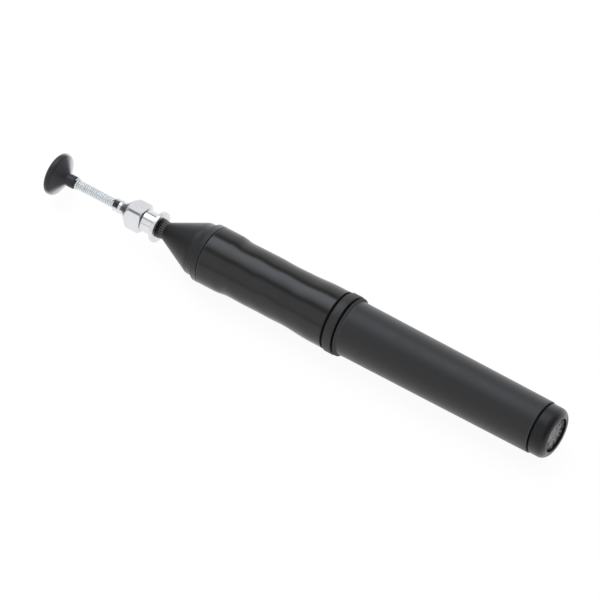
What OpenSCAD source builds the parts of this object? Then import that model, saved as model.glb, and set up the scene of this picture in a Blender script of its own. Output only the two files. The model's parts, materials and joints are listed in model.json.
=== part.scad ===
// Squeeze-type vacuum pick-up pen with a pull-off luer tip and suction cup.
// Millimetres. The pen lies on its side as it comes to rest: the cup points to -X,
// the end cap to +X, and +Z is up. Along the pen, a station is its distance behind
// the rear face of the tip's hub, so the tip has negative stations.

/* [Suction cup] */
// Largest diameter of the cup, round its rim
cup_d = 10.7; // [8:0.1:14]
// Length of the cup with its stem
cup_l = 5.9; // [5:0.1:8]
// Radius of the rounded rim
cup_rim_r = 1.0; // [0.7:0.05:1.2]
// How far the flat sealing lip is cut into the rounded rim
cup_lip_cut = 0.05; // [0.02:0.01:0.2]
// Width of the flat sealing lip
cup_lip_w = 0.4; // [0.2:0.05:0.6]
// Slope of the cup's back, measured from the plane of the lip
cup_back_angle = 30; // [20:1:35]
// Diameter of the stem
cup_stem_d = 3.1; // [2.6:0.1:4]
// Radius of the fillet between the back and the stem
cup_fillet_r = 0.8; // [0.3:0.1:1.0]
// Depth of the hollow behind the lip
cup_depth = 1.7; // [1:0.1:1.9]
// Diameter of the hollow's flat floor
cup_floor_d = 2.6; // [2:0.1:4]
// Diameter of the air hole in the floor
cup_hole_d = 0.8; // [0.4:0.1:1.2]
// Thickness of rubber between the floor and the tube's end
cup_web = 0.7; // [0.4:0.1:1]

/* [Needle tube and coil] */
// Outside diameter of the tube
tube_d = 1.27; // [1:0.01:1.6]
// Inside diameter of the tube
tube_bore_d = 0.84; // [0.5:0.01:0.9]
// Length of tube held in the hub
tube_seat_l = 4.2; // [3:0.1:4.8]
// Length of the coil between the cup's stem and the hub
coil_l = 11.7; // [8:0.1:16]
// Diameter of the coil's wire
wire_d = 0.5; // [0.4:0.02:0.6]
// Gap between neighbouring turns
wire_gap = 0.03; // [0.02:0.01:0.1]
// How far the first turn flares out against the cup's stem
coil_flare = 0.3; // [0:0.05:0.4]
// Turns after which the flare has run out, over the last of them
coil_flare_turns = 1.5; // [1:0.1:3]

/* [Luer hub] */
// Length of the hub
hub_l = 13.1; // [12.5:0.1:15]
// Diameter of the front collar
collar_d = 3.3; // [2.9:0.1:4]
// Length of the front collar
collar_l = 2.9; // [2:0.1:3.2]
// Width of the ridge between the collar's two hollow bands
collar_ridge_w = 0.5; // [0.3:0.05:0.8]
// Depth of the hollow bands
collar_hollow = 0.12; // [0.05:0.01:0.2]
// Length of the cone between the collar and the square's corners
hub_cone_l = 2.3; // [1.6:0.1:2.6]
// Width of the square body across its flats
hub_flats = 5.7; // [5.5:0.1:6.2]
// Diameter that the square's corners are turned to
hub_corner_d = 7.5; // [6.8:0.1:7.6]
// Diameter of the round neck behind the square
hub_neck_d = 5.5; // [5.3:0.1:5.6]
// Length of the turned chamfer at the rear of the square
hub_chamfer = 0.5; // [0.3:0.1:1.2]
// Distance from the square's rear face to the hub's rear face
hub_neck_l = 4.8; // [3.5:0.1:5.2]
// Diameter of the rear flange
flange_d = 7.8; // [7:0.1:8.4]
// Thickness of the rear flange
flange_t = 0.9; // [0.6:0.1:1.4]
// Angle that the hub happens to be turned to on its taper
hub_turn = 28; // [0:1:90]
// Edge break on the hub's turned edges
hub_edge = 0.15; // [0.05:0.01:0.2]
// Depth of the tapered socket
socket_l = 7.9; // [7.4:0.1:8.2]
// Width of the chamfer at the socket's mouth
socket_chamfer = 0.35; // [0.1:0.05:0.4]

/* [Luer taper] */
// Diameter of the taper in the plane of the hub's rear face
luer_d = 4.27; // [4.1:0.01:4.4]
// Change of diameter for each unit of length, six in a hundred
luer_rate = 0.06; // [0.05:0.005:0.07]
// Length of the nose's taper inside the hub
luer_l = 7.0; // [6:0.1:7.3]

/* [Nose] */
// Gap between the hub's rear face and the nose's collar
nose_gap = 0.25; // [0.1:0.05:0.5]
// Diameter of the collar in front of the neck
nose_collar_d = 4.9; // [4.7:0.1:5.4]
// Length of the collar
nose_collar_l = 0.3; // [0.3:0.05:0.8]
// Number of ribs round the neck
rib_count = 24; // [12:1:30]
// Diameter of one rib
rib_d = 0.36; // [0.2:0.02:0.4]
// How far the ribs stand out from the neck
rib_rise = 0.14; // [0.06:0.02:0.16]
// Diameter of the neck behind the collar
nose_neck_d = 4.2; // [4.0:0.1:4.5]
// Length of the neck
nose_neck_l = 0.95; // [0.5:0.05:1.2]
// Radius of the hollow between the neck and the cone
neck_fillet_r = 1.5; // [0.5:0.1:2]
// Distance from the hub's rear face to the nose's rear face
nose_l = 14.9; // [13:0.1:18]
// Diameter of the shoulder band
shoulder_d = 13.2; // [12.4:0.1:13.6]
// Length of the shoulder band, with the lip behind it
shoulder_l = 3.8; // [3.4:0.1:5]
// Radius that rounds the cone into the shoulder band
shoulder_r = 1.6; // [0.5:0.1:3]
// Length of the slope from the shoulder band up to the lip
lip_slope = 1.2; // [0.6:0.1:1.3]
// Length of the lip that the sleeve stands against
lip_l = 1.2; // [0.8:0.1:1.4]
// Diameter of the air bore
air_bore_d = 1.6; // [1:0.1:2.2]
// Length of the spigot that the sleeve is pushed over
nose_spigot_l = 5.5; // [4:0.1:8]

/* [Squeeze sleeve] */
// Length of the sleeve
sleeve_l = 35.3; // [30:0.1:45]
// Diameter of the sleeve where it is stretched over the spigots
sleeve_end_d = 14.6; // [14.2:0.1:14.9]
// Diameter of the sleeve between them
sleeve_waist_d = 13.9; // [13.2:0.1:14.1]
// Bore of the sleeve
sleeve_bore_d = 10.8; // [10.4:0.1:11.2]
// Length of the swollen front end
sleeve_front_l = 4.6; // [3:0.1:6]
// Length of the swollen rear end
sleeve_rear_l = 3.6; // [2.5:0.1:5]
// Length of the slope from the front end to the waist
sleeve_front_slope = 3.4; // [2:0.1:6]
// Length of the slope from the waist to the rear end
sleeve_rear_slope = 7.6; // [4:0.1:9]
// Radius of the sleeve's front edge
sleeve_edge_r = 0.3; // [0.1:0.05:0.6]
// Gap between the nose and the sleeve
sleeve_gap = 0.1; // [0.05:0.05:0.3]

/* [Core tube] */
// Outside diameter of the core tube
core_d = 6.0; // [5:0.1:6.6]
// Inside diameter of the core tube
core_bore_d = 4.4; // [3:0.1:4.6]
// Length of core tube inside the nose
core_front_seat = 7.5; // [5:0.1:8]
// Length of core tube inside the coupling
core_rear_seat = 5.0; // [4:0.1:5.5]
// Diameter of the cross holes
core_hole_d = 2.0; // [1:0.1:2.6]
// Number of cross holes along the tube
core_holes = 4; // [2:1:5]

/* [Joint coupling] */
// How far the raised ring stands out from the sleeve's ends
ring_rise = 0.25; // [0.1:0.05:0.6]
// Width of the raised ring
ring_w = 2.35; // [2:0.05:5]
// Width of the groove on each side of the ring
groove_w = 0.45; // [0.2:0.05:0.8]
// Diameter of the bottom of the two grooves
groove_d = 13.0; // [12.2:0.1:13.6]
// Edge radius of the ring
ring_edge_r = 0.25; // [0.1:0.05:0.4]
// Length of the spigot inside the sleeve
coupling_front_l = 6.0; // [4.5:0.1:8]
// Length of the spigot inside the barrel
coupling_rear_l = 6.5; // [4:0.1:9]
// Wall of the spigots inside the barrel
spigot_wall = 1.4; // [1:0.1:2]

/* [Rear barrel] */
// Length of the barrel
barrel_l = 52.5; // [40:0.1:65]
// Diameter of the barrel behind its front bead
barrel_front_d = 13.6; // [13.2:0.1:14]
// Diameter of the barrel at its rear end
barrel_rear_d = 12.95; // [12.6:0.05:13.2]
// How far the front bead stands in from the raised ring
bead_drop = 0.15; // [0:0.05:0.3]
// Length of the front bead
bead_l = 0.75; // [0.6:0.05:1.6]
// Bore of the barrel
barrel_bore_d = 10.4; // [9.6:0.1:10.8]
// Radius of the barrel's rear edge
barrel_edge_r = 0.2; // [0.1:0.05:0.3]

/* [End cap] */
// Width of the groove between the barrel and the cap
cap_groove_w = 0.45; // [0.2:0.05:0.8]
// Diameter of the bottom of that groove
cap_groove_d = 11.8; // [11.2:0.1:12]
// Diameter of the cap
cap_d = 12.5; // [12.2:0.1:12.8]
// Length of the cap behind the groove
cap_l = 3.8; // [3.4:0.1:6]
// Radius of the cap's rounded end
cap_round_r = 1.75; // [1.2:0.05:2.1]
// Width of the flat rim round the recess in the end
rim_w = 0.2; // [0.15:0.05:0.6]
// Depth of the recess
recess_depth = 1.7; // [1.3:0.1:2]
// Thickness of the disc in the recess
disc_t = 1.0; // [0.6:0.1:1.2]
// Length of the spigot inside the barrel
cap_spigot_l = 5.0; // [3.5:0.1:8]

/* [Fits] */
// Radial clearance of the pieces that stay together
fit_clear = 0.03; // [0.02:0.01:0.06]
// Radial clearance of the luer taper and of the tube in the cup
slip_clear = 0.03; // [0.02:0.01:0.06]
// End clearance between the coil and what it stands against
coil_end_gap = 0.05; // [0.03:0.01:0.1]

/* [Hidden] */
$fn = 96;

// How far a cut runs past the face that it goes through
over = 1;

// Stations of the tip, forwards from the hub's rear face
hub_front = -hub_l;
square_rear = -hub_neck_l;
stem_end = hub_front - coil_l;
cup_lip = stem_end - cup_l;
tube_front = cup_lip + cup_depth + cup_web;
tube_rear = hub_front + tube_seat_l;

// Stations of the body, backwards from the hub's rear face
nose_cone_start = nose_gap + nose_collar_l + nose_neck_l;
nose_cone_end = nose_l - shoulder_l;
nose_spigot_end = nose_l + nose_spigot_l;
sleeve_front = nose_l + sleeve_gap;
sleeve_rear = sleeve_front + sleeve_l;
ring_front = sleeve_rear + groove_w;
ring_rear = ring_front + ring_w;
barrel_front = ring_rear + groove_w;
barrel_rear = barrel_front + barrel_l;
cap_front = barrel_rear + cap_groove_w;
cap_end = cap_front + cap_l;
core_front = nose_spigot_end - core_front_seat;
core_rear = sleeve_rear - coupling_front_l + core_rear_seat;

// The ring stands out from the sleeve, and the barrel's bead follows the ring
ring_d = sleeve_end_d + 2 * ring_rise;
bead_d = ring_d - 2 * bead_drop;

// The nose's lip is flush with the sleeve that stands against it
lip_d = sleeve_end_d;
lip_front = nose_l - lip_l;

// Spigots take their size from the bores that they fill
sleeve_spigot_d = sleeve_bore_d - 2 * fit_clear;
barrel_spigot_d = barrel_bore_d - 2 * fit_clear;
spigot_bore_d = barrel_spigot_d - 2 * spigot_wall;
core_socket_d = core_d + 2 * fit_clear;

// Rest on a flat table: the pen touches it at the front of the nose's lip and at whichever
// circle behind that stands out most.
rest_station = lip_front;
rest_r = lip_d / 2;
behind = [[sleeve_rear - sleeve_rear_l, sleeve_end_d / 2],
          [ring_front + ring_edge_r, ring_d / 2],
          [barrel_front + ring_edge_r, bead_d / 2],
          [barrel_rear - barrel_edge_r, barrel_rear_d / 2]];
rest_tilt = atan(max([for (c = behind) (c[1] - rest_r) / (c[0] - rest_station)]));
rest_height = rest_r * cos(rest_tilt) - rest_station * sin(rest_tilt);

// The origin lies under the middle of the pen's length
cup_rim_centre = [cup_d / 2 - cup_rim_r, cup_rim_r - cup_lip_cut];
lip_angle = asin(cup_rim_centre[1] / cup_rim_r);
lip_r = cup_rim_centre[0] + cup_rim_r * cos(lip_angle);
cap_rim_r = cap_d / 2 - cap_round_r;
recess_d = 2 * (cap_rim_r - rim_w);
x_front = cup_lip * cos(rest_tilt) - lip_r * sin(rest_tilt);
x_rear = cap_end * cos(rest_tilt) + cap_rim_r * sin(rest_tilt);
x_middle = (x_front + x_rear) / 2;

// Diameter of the luer taper's socket at a station
function luer_socket_d(station) = luer_d + luer_rate * station;

// Points of an arc about a centre, from one angle to another
function arc(centre, r, from, to, steps = 10) =
    [for (i = [0:steps]) let (a = from + (to - from) * i / steps) centre + r * [cos(a), sin(a)]];

// Points of a smooth slope between two points [radius, station]
function slope(p, q, steps = 10) =
    [for (i = [0:steps]) let (k = i / steps)
        [p[0] + (q[0] - p[0]) * (1 - cos(180 * k)) / 2, p[1] + (q[1] - p[1]) * k]];

// Points of a shallow hollow turned round a cylinder between two stations
function hollow_band(r, from, to, depth, steps = 8) =
    [for (i = [0:steps]) let (k = i / steps) [r - depth * sin(180 * k), from + (to - from) * k]];

// Lays the pen's axis down: +Z of what is drawn becomes the way from tip to tail
module lay_down()
    translate([-x_middle, 0, rest_height]) rotate([0, 90 - rest_tilt, 0]) children();

// A turned or moulded round piece from its outline of [radius, station] points
module turned(outline) rotate_extrude() polygon(outline);

// A round bore between two stations
module bore(d, from, to) translate([0, 0, from]) cylinder(d = d, h = to - from);

// Moulded rubber cup: rounded rim, sloping back, fillet, stem, hollow front and a socket for the tube
module suction_cup() {
    back_normal = [sin(cup_back_angle), cos(cup_back_angle)];
    back_start = cup_rim_centre + cup_rim_r * back_normal;
    fillet_x = cup_stem_d / 2 + cup_fillet_r;
    fillet_z = back_start[1]
        + (cup_fillet_r - back_normal[0] * (fillet_x - back_start[0])) / back_normal[1];
    lip_inner_r = lip_r - cup_lip_w;
    outside = concat(
        [[0, 0]],
        arc(cup_rim_centre, cup_rim_r, -lip_angle, 90 - cup_back_angle, 16),
        arc([fillet_x, fillet_z], cup_fillet_r, 270 - cup_back_angle, 180, 8),
        [[cup_stem_d / 2, cup_l], [0, cup_l]]);
    hollow = concat(
        [[0, -over], [lip_inner_r, -over]],
        [for (i = [0:8]) let (k = 90 * i / 8)
            [cup_floor_d / 2 + (lip_inner_r - cup_floor_d / 2) * cos(k), cup_depth * sin(k)]],
        [[0, cup_depth]]);
    color([0.09, 0.09, 0.10]) lay_down() translate([0, 0, cup_lip]) difference() {
        turned(outside);
        turned(hollow);
        bore(cup_hole_d, 0, cup_l);
        bore(tube_d + 2 * slip_clear, cup_depth + cup_web, cup_l + over);
    }
}

// Stainless tube from inside the cup to inside the hub
module needle_tube()
    color([0.75, 0.76, 0.78]) lay_down() difference() {
        bore(tube_d, tube_front, tube_rear);
        bore(tube_bore_d, tube_front - over, tube_rear + over);
    }

// Close-wound wire coil round the tube, one wire swept along a helix
module guard_spring() {
    sides = 8;
    steps_per_turn = 12;
    mean_r = tube_d / 2 + fit_clear + wire_d / 2;
    start = stem_end + coil_end_gap + wire_d / 2;
    rise = coil_l - 2 * coil_end_gap - wire_d;
    turns = rise / (wire_d + wire_gap);
    rings = ceil(turns * steps_per_turn);
    points = [for (i = [0:rings], j = [0:sides - 1])
        let (turn = 360 * turns * i / rings, side = 360 * j / sides,
             flare = coil_flare * min(1, max(0, coil_flare_turns - turn / 360)),
             r = mean_r + flare + wire_d / 2 * cos(side))
        [r * cos(turn), r * sin(turn), start + rise * i / rings + wire_d / 2 * sin(side)]];
    skin = [for (i = [0:rings - 1], j = [0:sides - 1])
        let (next = (j + 1) % sides)
        [i * sides + j, i * sides + next, (i + 1) * sides + next, (i + 1) * sides + j]];
    ends = [[for (j = [sides - 1:-1:0]) j], [for (j = [0:sides - 1]) rings * sides + j]];
    color([0.80, 0.81, 0.83]) lay_down() polyhedron(points, concat(skin, ends), convexity = 10);
}

// Turned hub with a milled square, chamfered behind, a flange and a tapered socket
module luer_hub() {
    cone_front = hub_front + collar_l;
    cone_rear = cone_front + hub_cone_l;
    ridge_front = hub_front + (collar_l - collar_ridge_w) / 2;
    ridge_rear = ridge_front + collar_ridge_w;
    corner_r = hub_corner_d / 2;
    collar_r = collar_d / 2;
    outside = concat(
        [[0, hub_front], [collar_r - hub_edge, hub_front]],
        hollow_band(collar_r, hub_front + hub_edge, ridge_front, collar_hollow),
        hollow_band(collar_r, ridge_rear, cone_front, collar_hollow),
        [[corner_r, cone_rear], [corner_r, square_rear - hub_chamfer], [hub_neck_d / 2, square_rear],
         [hub_neck_d / 2, -flange_t], [flange_d / 2 - hub_edge, -flange_t],
         [flange_d / 2, hub_edge - flange_t], [flange_d / 2, -hub_edge],
         [flange_d / 2 - hub_edge, 0], [0, 0]]);
    socket = [
        [0, -socket_l], [luer_socket_d(-socket_l) / 2, -socket_l],
        [luer_socket_d(-socket_chamfer) / 2, -socket_chamfer],
        [luer_d / 2 + socket_chamfer, 0], [luer_d / 2 + socket_chamfer, over], [0, over]];
    color([0.86, 0.86, 0.88]) lay_down() difference() {
        turned(outside);
        turned(socket);
        bore(tube_d + 2 * fit_clear, hub_front - over, tube_rear);
        bore(tube_bore_d, hub_front, -socket_l + over);
        for (side = [0:3]) rotate(hub_turn + 45 + 90 * side)
            translate([hub_flats / 2, -hub_corner_d, cone_front])
                cube([hub_corner_d, 2 * hub_corner_d, square_rear - cone_front + over]);
    }
}

// Moulded nose: male taper, collar, ribbed neck, cone, shoulder band, lip and the sleeve's spigot
module nose_cone() {
    neck_r = nose_neck_d / 2;
    shoulder = shoulder_d / 2;
    cone_angle = atan((shoulder - neck_r) / (nose_cone_end - nose_cone_start));
    collar_rear = nose_gap + nose_collar_l;
    rib_centre_r = neck_r + rib_rise - rib_d / 2;
    rib_l = nose_neck_l + rib_rise / tan(cone_angle);
    round_z = nose_cone_end + shoulder_r * tan(cone_angle / 2);
    edge = sleeve_gap;
    outside = concat(
        [[0, -luer_l], [luer_socket_d(-luer_l) / 2 - slip_clear, -luer_l],
         [luer_d / 2 - slip_clear, 0], [luer_d / 2 - slip_clear, nose_gap],
         [nose_collar_d / 2, nose_gap], [nose_collar_d / 2, collar_rear],
         [neck_r, collar_rear]],
        arc([neck_r + neck_fillet_r, nose_cone_start - neck_fillet_r * tan(cone_angle / 2)],
            neck_fillet_r, 180, 180 - cone_angle, 6),
        arc([shoulder - shoulder_r, round_z], shoulder_r, -cone_angle, 0, 6),
        slope([shoulder, lip_front - lip_slope], [lip_d / 2, lip_front], 8),
        [[lip_d / 2, nose_l - edge], [lip_d / 2 - edge, nose_l], [sleeve_spigot_d / 2, nose_l],
         [sleeve_spigot_d / 2, nose_spigot_end - edge], [sleeve_spigot_d / 2 - edge, nose_spigot_end],
         [0, nose_spigot_end]]);
    color([0.17, 0.17, 0.18]) lay_down() difference() {
        union() {
            turned(outside);
            for (i = [0:rib_count - 1]) rotate(360 * i / rib_count)
                translate([rib_centre_r, 0, collar_rear - rib_rise])
                    cylinder(d = rib_d, h = rib_rise + rib_l, $fn = 16);
        }
        bore(air_bore_d, -luer_l - over, nose_spigot_end);
        bore(core_socket_d, core_front, nose_spigot_end + over);
    }
}

// Rubber tube, swollen at both ends
module squeeze_sleeve() {
    end_r = sleeve_end_d / 2;
    waist_r = sleeve_waist_d / 2;
    bore_r = sleeve_bore_d / 2;
    front_end = sleeve_front + sleeve_front_l;
    rear_end = sleeve_rear - sleeve_rear_l;
    outline = concat(
        [[bore_r, sleeve_front]],
        arc([end_r - sleeve_edge_r, sleeve_front + sleeve_edge_r], sleeve_edge_r, -90, 0, 8),
        slope([end_r, front_end], [waist_r, front_end + sleeve_front_slope]),
        slope([waist_r, rear_end - sleeve_rear_slope], [end_r, rear_end]),
        arc([end_r - ring_edge_r, sleeve_rear - ring_edge_r], ring_edge_r, 0, 90, 4),
        [[bore_r, sleeve_rear]]);
    color([0.07, 0.07, 0.08]) lay_down() turned(outline);
}

// Stiff perforated tube that keeps the nose in line with the barrel
module core_tube() {
    hole_span = sleeve_rear - coupling_front_l - nose_spigot_end;
    color([0.20, 0.20, 0.21]) lay_down() difference() {
        bore(core_d, core_front, core_rear);
        bore(core_bore_d, core_front - over, core_rear + over);
        for (i = [0:core_holes - 1])
            translate([0, 0, nose_spigot_end + hole_span * (i + 0.5) / core_holes])
                rotate([0, 0, 90 * (i % 2)]) rotate([90, 0, 0])
                    cylinder(d = core_hole_d, h = core_d + 2 * over, center = true);
    }
}

// Raised ring between two grooves, with a spigot to each side and a closed wall between them
module joint_coupling() {
    r = ring_d / 2;
    front = sleeve_rear - coupling_front_l;
    rear = barrel_front + coupling_rear_l;
    outside = concat(
        [[0, front], [sleeve_spigot_d / 2, front], [sleeve_spigot_d / 2, sleeve_rear],
         [groove_d / 2, sleeve_rear], [groove_d / 2, ring_front]],
        arc([r - ring_edge_r, ring_front + ring_edge_r], ring_edge_r, -90, 0, 4),
        arc([r - ring_edge_r, ring_rear - ring_edge_r], ring_edge_r, 0, 90, 4),
        [[groove_d / 2, ring_rear], [groove_d / 2, barrel_front], [barrel_spigot_d / 2, barrel_front],
         [barrel_spigot_d / 2, rear], [0, rear]]);
    color([0.22, 0.22, 0.23]) lay_down() difference() {
        turned(outside);
        bore(core_socket_d, front - over, core_rear);
        bore(spigot_bore_d, barrel_front, rear + over);
    }
}

// Moulded tube with a beaded front edge and a slight taper
module rear_barrel() {
    body_front_r = barrel_front_d / 2;
    body_rear_r = barrel_rear_d / 2;
    bore_r = barrel_bore_d / 2;
    bead_r = bead_d / 2;
    outline = concat(
        [[bore_r, barrel_front]],
        arc([bead_r - ring_edge_r, barrel_front + ring_edge_r], ring_edge_r, -90, 0, 4),
        slope([bead_r, barrel_front + ring_edge_r], [body_front_r, barrel_front + bead_l], 8),
        arc([body_rear_r - barrel_edge_r, barrel_rear - barrel_edge_r], barrel_edge_r, 0, 90, 4),
        [[bore_r, barrel_rear]]);
    color([0.24, 0.24, 0.25]) lay_down() turned(outline);
}

// Plug with a rounded end and a round recess
module end_cap() {
    spigot_front = barrel_rear - cap_spigot_l;
    outside = concat(
        [[0, spigot_front], [barrel_spigot_d / 2, spigot_front], [barrel_spigot_d / 2, barrel_rear],
         [cap_groove_d / 2, barrel_rear], [cap_groove_d / 2, cap_front],
         [cap_d / 2 - barrel_edge_r, cap_front], [cap_d / 2, cap_front + barrel_edge_r]],
        arc([cap_rim_r, cap_end - cap_round_r], cap_round_r, 0, 90, 10),
        [[0, cap_end]]);
    color([0.20, 0.20, 0.21]) lay_down() difference() {
        turned(outside);
        bore(spigot_bore_d, spigot_front - over, barrel_rear);
        bore(recess_d, cap_end - recess_depth, cap_end + over);
    }
}

// Textured disc that lies in the cap's recess
module end_disc()
    color([0.52, 0.52, 0.54]) lay_down()
        bore(recess_d - 2 * fit_clear, cap_end - recess_depth, cap_end - recess_depth + disc_t);

suction_cup();
needle_tube();
guard_spring();
luer_hub();
nose_cone();
squeeze_sleeve();
core_tube();
joint_coupling();
rear_barrel();
end_cap();
end_disc();
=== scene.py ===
"""Looks of a squeeze-type vacuum pick-up pen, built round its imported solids.

Lengths below are millimetres along the pen, as a station behind the rear face of the tip's
hub, and as a radius from the pen's axis. Points reach Blender in metres.
"""
import json
import math

import bpy
import numpy as np
from mathutils import Matrix

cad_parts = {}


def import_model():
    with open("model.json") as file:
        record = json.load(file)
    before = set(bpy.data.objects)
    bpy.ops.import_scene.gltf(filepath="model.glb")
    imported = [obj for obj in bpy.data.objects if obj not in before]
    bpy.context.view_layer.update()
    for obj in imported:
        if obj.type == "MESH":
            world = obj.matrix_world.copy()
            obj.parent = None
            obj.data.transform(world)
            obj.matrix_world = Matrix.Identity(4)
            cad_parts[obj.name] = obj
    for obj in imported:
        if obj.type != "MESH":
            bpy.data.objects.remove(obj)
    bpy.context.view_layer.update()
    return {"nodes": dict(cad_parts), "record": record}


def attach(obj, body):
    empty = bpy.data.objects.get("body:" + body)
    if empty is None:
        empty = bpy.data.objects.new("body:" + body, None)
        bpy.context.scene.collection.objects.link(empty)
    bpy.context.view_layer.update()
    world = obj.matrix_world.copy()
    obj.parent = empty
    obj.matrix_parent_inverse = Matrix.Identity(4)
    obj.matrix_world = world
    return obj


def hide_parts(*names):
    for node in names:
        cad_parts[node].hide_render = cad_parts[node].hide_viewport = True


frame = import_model()

MM = 0.001
FULL_TURN = 2 * math.pi
QUARTER_TURN = math.pi / 2
# Lengths below this count as none
TINY = 1e-6
# Points of an outline: the least gap between them, and the decimal places of their lengths
LEAST_GAP = 1e-4
LENGTH_PLACES = 7
# Most of a straight side that the arc at one of its corners takes up
CORNER_SHARE = 0.49

# Radii of broken edges and corners that several pieces share
EDGE_FINE = 0.02
EDGE_THIN = 0.05
EDGE_SMALL = 0.1
EDGE_MIDDLE = 0.2
EDGE_BROAD = 0.3

# Cup
CUP_LIP = -30.7
CUP_L = 5.9
CUP_R = 5.35
CUP_RIM_R = 1.0
CUP_LIP_CUT = 0.05
CUP_LIP_W = 0.4
CUP_BACK_ANGLE = math.radians(30)
CUP_STEM_R = 1.55
CUP_STEM_EDGE = 0.12
CUP_SEAT_EDGE = 0.08
CUP_HOLE_EDGE = 0.06
CUP_FILLET_R = 0.8
CUP_DEPTH = 1.7
CUP_FLOOR_R = 1.3
CUP_HOLE_R = 0.4
CUP_WEB = 0.7
# Waves of the cup's rim: height, count round the cup and phase, and where they begin and are full
CUP_WAVES = [(0.012, 3, 0.7), (0.006, 7, 2.1)]
CUP_WAVE_START_R = 2.5
CUP_WAVE_FULL_R = 5.0
CUP_HOLLOW_SAMPLES = 25

# Tube, coil and hub
TUBE_R = 0.635
TUBE_BORE_R = 0.42
TUBE_FRONT = CUP_LIP + CUP_DEPTH + CUP_WEB
TUBE_MIDDLE = -20
TUBE_REAR = -8.9
COIL_FRONT = -24.8
COIL_REAR = -13.1
WIRE_R = 0.25
WIRE_PITCH = 0.53
COIL_END_GAP = 0.05
COIL_FLARE = 0.3
COIL_FLARE_TURNS = 1.5
# The wire's rounded end: shares of its radius, and how far each lies past the end, in radians
WIRE_END_SHARES = np.array([0.0, 0.55, 0.85])
WIRE_END_REACH = np.array([0.04, 0.03, 0.015])
SEAT_CLEAR = 0.03
SEAT_R = TUBE_R + SEAT_CLEAR
HUB_FRONT = -13.1
COLLAR_R = 1.65
COLLAR_REAR = -10.2
COLLAR_RIDGE_W = 0.5
COLLAR_HOLLOW = 0.12
CONE_REAR = -7.9
HALF_FLATS = 2.85
CORNER_R = 3.75
SQUARE_REAR = -4.2
SQUARE_CHAMFER = 0.5
HUB_NECK_R = 2.75
HUB_NECK_FILLET_R = 0.25
FLANGE_R = 3.9
FLANGE_T = 0.9
FLANGE_EDGE = 0.16
HUB_EDGE = 0.15
HUB_TURN = math.radians(28)
FLAT_SAMPLES = 57
CORNER_SAMPLES = 9
SOCKET_L = 7.9
SOCKET_CHAMFER = 0.35
LUER_R = 2.135
LUER_RATE = 0.03

# Nose
LUER_L = 7.0
AIR_BORE_R = 0.8
AIR_BORE_MIDDLE = 4.0
NOSE_GAP = 0.25
NOSE_COLLAR_REAR = 0.55
NOSE_COLLAR_R = 2.45
NOSE_COLLAR_EDGE = 0.04
RIB_COUNT = 24
RIB_R = 0.18
RIB_RISE = 0.14
RIB_SAMPLES = 12
RIB_LIMIT = 2.5
NOSE_NECK_R = 2.1
CONE_START = 1.5
CONE_END = 11.1
NECK_FILLET_R = 1.5
SHOULDER_R = 6.6
SHOULDER_ROUND = 1.6
LIP_FRONT = 13.7
LIP_START = 12.5
LIP_R = 7.3
LIP_EDGE = 0.12
NOSE_REAR = 14.9
NOSE_SPIGOT_END = 20.4
SLEEVE_SPIGOT_R = 5.37
CORE_SOCKET_R = 3.03
CORE_FRONT = 12.9
CORE_REAR = 49.3

# Sleeve
SLEEVE_FRONT = 15.0
SLEEVE_MIDDLE = 30.0
SLEEVE_REAR = 50.3
SLEEVE_END_R = 7.3
SLEEVE_WAIST_R = 6.95
SLEEVE_BORE_R = 5.4
SLEEVE_FRONT_L = 4.6
SLEEVE_REAR_L = 3.6
SLEEVE_FRONT_SLOPE = 3.4
SLEEVE_REAR_SLOPE = 7.6
SLEEVE_EDGE_R = 0.3
# Waves of the sleeve's wall: height, count round it, radians per millimetre along it and phase
SLEEVE_WAVES = [(0.030, 2, 0.42, 0.0), (0.020, 3, -0.61, 1.3), (0.016, 5, 0.9, 0.4)]
SLEEVE_WAVE_SINK = 0.02
SLEEVE_WAVE_START = 2
SLEEVE_WAVE_FADE = 5

# Ring, barrel and end
COUPLING_FRONT = 44.3
RING_FRONT = 50.75
RING_REAR = 53.1
RING_R = 7.55
RING_EDGE_R = 0.25
GROOVE_R = 6.5
BARREL_FRONT = 53.55
BARREL_MIDDLE = 80.0
BARREL_REAR = 106.05
COUPLING_REAR = 60.05
BARREL_SPIGOT_R = 5.17
SPIGOT_BORE_R = 3.77
BEAD_R = 7.4
BEAD_L = 0.75
BARREL_FRONT_R = 6.8
BARREL_REAR_R = 6.475
BARREL_BORE_R = 5.2
BARREL_EDGE_R = 0.2
CAP_SPIGOT_FRONT = 101.05
CAP_GROOVE_R = 5.9
CAP_FRONT = 106.5
CAP_END = 110.3
CAP_R = 6.25
CAP_ROUND_R = 1.75
RECESS_R = 4.3
RECESS_FLOOR = 108.6
DISC_R = 4.27
DISC_T = 1.0
DISC_EDGE = 0.08
DISC_RINGS = 60
DISC_TURNS = 240
# Grains of the disc: how many, their heights and widths from low to high, and the relief's limits
GRAIN_COUNT = 420
GRAIN_HEIGHTS = (-0.10, 0.05)
GRAIN_WIDTHS = (0.07, 0.2)
RELIEF_LIMITS = (-0.14, 0.08)
GRAIN_SEED = 7

# Pen's axis, from the ring's land in the record
ring_land = next(mount for mount in frame["record"]["mounts"] if mount["name"] == "ring_land")
ALONG = np.array(ring_land["axis"], float)
ALONG /= np.linalg.norm(ALONG)
ACROSS = np.array([0.0, 1.0, 0.0])
UPWARD = np.cross(ALONG, ACROSS)
AXIS_START = np.array(ring_land["pos_m"], float) / MM - (RING_FRONT + RING_REAR) / 2 * ALONG

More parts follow.
